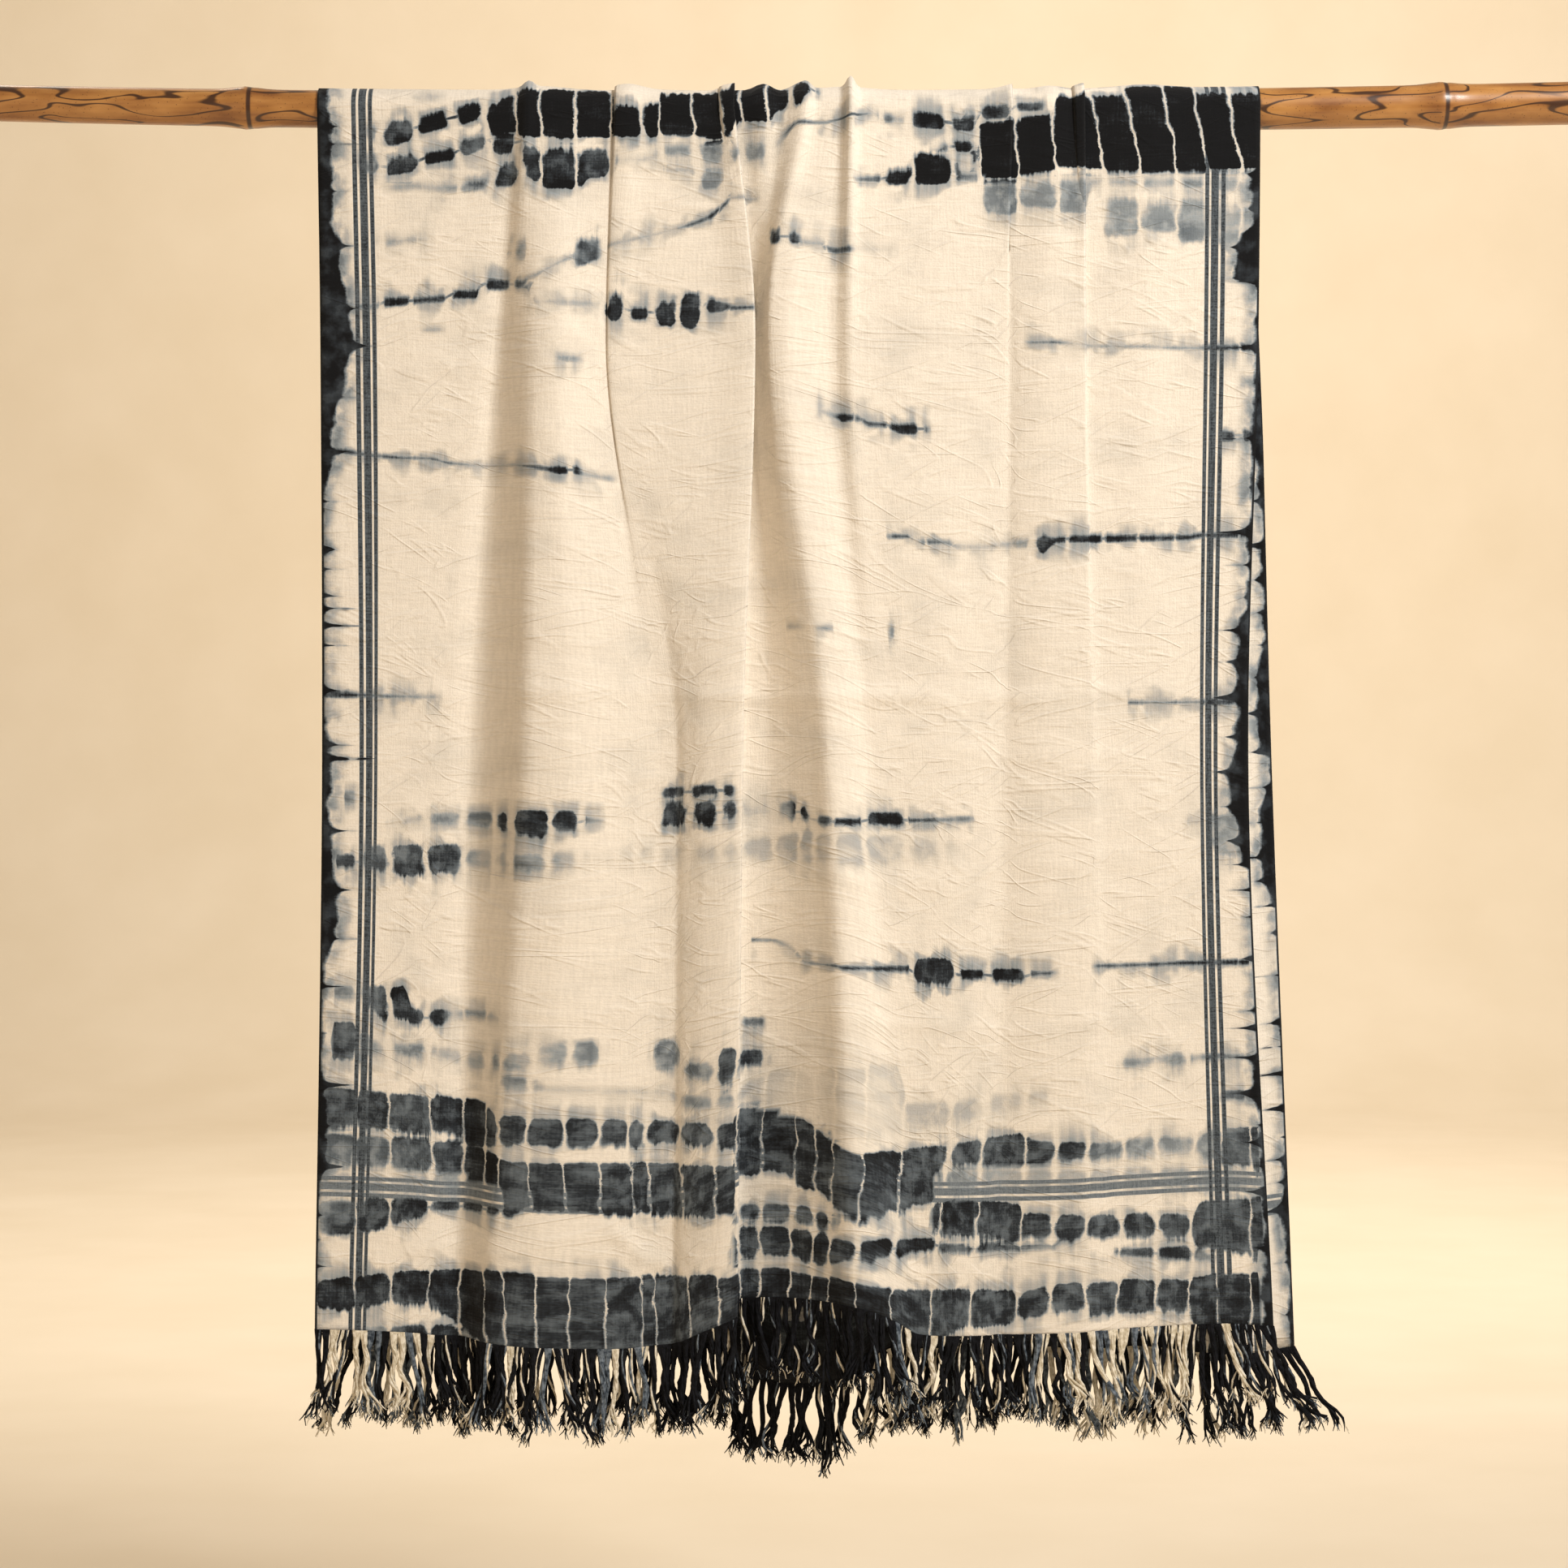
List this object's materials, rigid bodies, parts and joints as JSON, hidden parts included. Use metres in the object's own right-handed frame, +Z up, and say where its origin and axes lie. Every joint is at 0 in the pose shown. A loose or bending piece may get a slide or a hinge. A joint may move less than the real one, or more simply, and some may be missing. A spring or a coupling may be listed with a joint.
{
  "type": "shibori dyed cloth on a bamboo pole",
  "caption": "Handwoven cotton cloth with tie-dyed marks, woven border stripes and fringed ends, folded over a bamboo pole and hanging down on both sides.",
  "frame": {"origin": "on the pole's axis, at the middle of its length", "axes": "+X along the pole to the viewer's right, -Y towards the viewer and the side that shows, +Z up"},
  "size_m": [1.5, 0.1039, 1.2241],
  "materials": {
    "cotton": "plain handwoven cotton, undyed cream with near-black and slate tie-dyed marks",
    "dyed_fringe": "knotted cotton warp ends, mostly near-black",
    "bamboo": "natural glossy skin with scorched marks"
  },
  "bodies": {
    "root": {"cloth": "cotton", "front_fringe": "dyed_fringe", "back_fringe": "dyed_fringe", "pole": "bamboo"}
  },
  "joints": []
}
